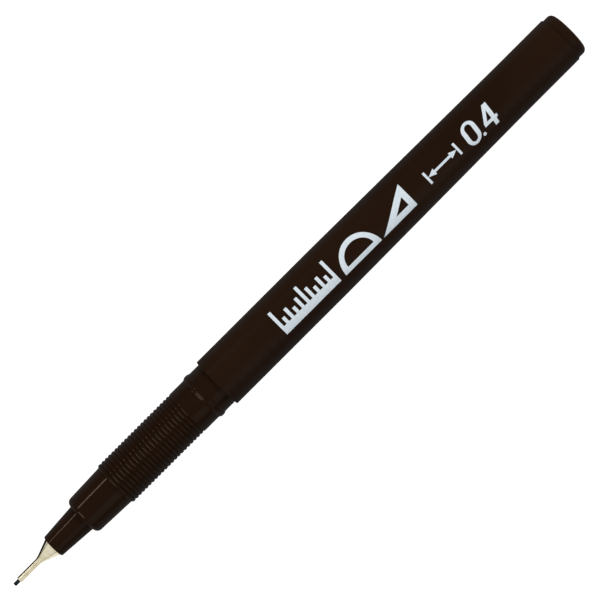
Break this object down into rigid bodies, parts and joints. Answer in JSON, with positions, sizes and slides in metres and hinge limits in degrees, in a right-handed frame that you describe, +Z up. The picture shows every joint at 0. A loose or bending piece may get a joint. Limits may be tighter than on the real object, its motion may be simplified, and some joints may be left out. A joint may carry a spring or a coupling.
{
  "type": "technical pen",
  "caption": "Fibre-tipped technical drawing pen: metal-clad point, tapered nose, ribbed grip with a cap bead, tapered barrel and a rounded end plug.",
  "frame": {"origin": "bottom centre of the whole pen as it lies on its side, under the middle of its length", "axes": "+X along the pen from the writing point to the end plug; +Z up from the surface that it lies on, through the printed side"},
  "size_m": [0.135, 0.01, 0.01],
  "materials": {
    "brown_plastic": "satin dark brown moulding",
    "point_metal": "drawn and lightly polished",
    "writing_fibre": "fibre soaked with dark ink",
    "bush_plastic": "natural white moulding",
    "wick_fibre": "bonded fibre soaked with ink",
    "store_fibre": "polyester fibre bundle soaked with ink",
    "store_film": "thin clear film over ink",
    "print_ink": "pale pad print"
  },
  "bodies": {
    "barrel_unit": {"barrel": "brown_plastic", "reservoir_core": "store_fibre", "reservoir_film": "store_film"},
    "front_section": {"writing_point": "writing_fibre", "nib_sleeve": "point_metal", "nib_carrier": "bush_plastic", "nose_cone": "brown_plastic", "grip_section": "brown_plastic", "feeder_wick": "wick_fibre"},
    "rear_plug": {"end_plug": "brown_plastic"}
  },
  "joints": [
    {"name": "section_pull", "type": "slide", "parent": "barrel_unit", "child": "front_section", "axis": [-1, 0, 0], "range_m": [0, 0.03]},
    {"name": "plug_pull", "type": "slide", "parent": "barrel_unit", "child": "rear_plug", "axis": [1, 0, 0], "range_m": [0, 0.015]}
  ]
}
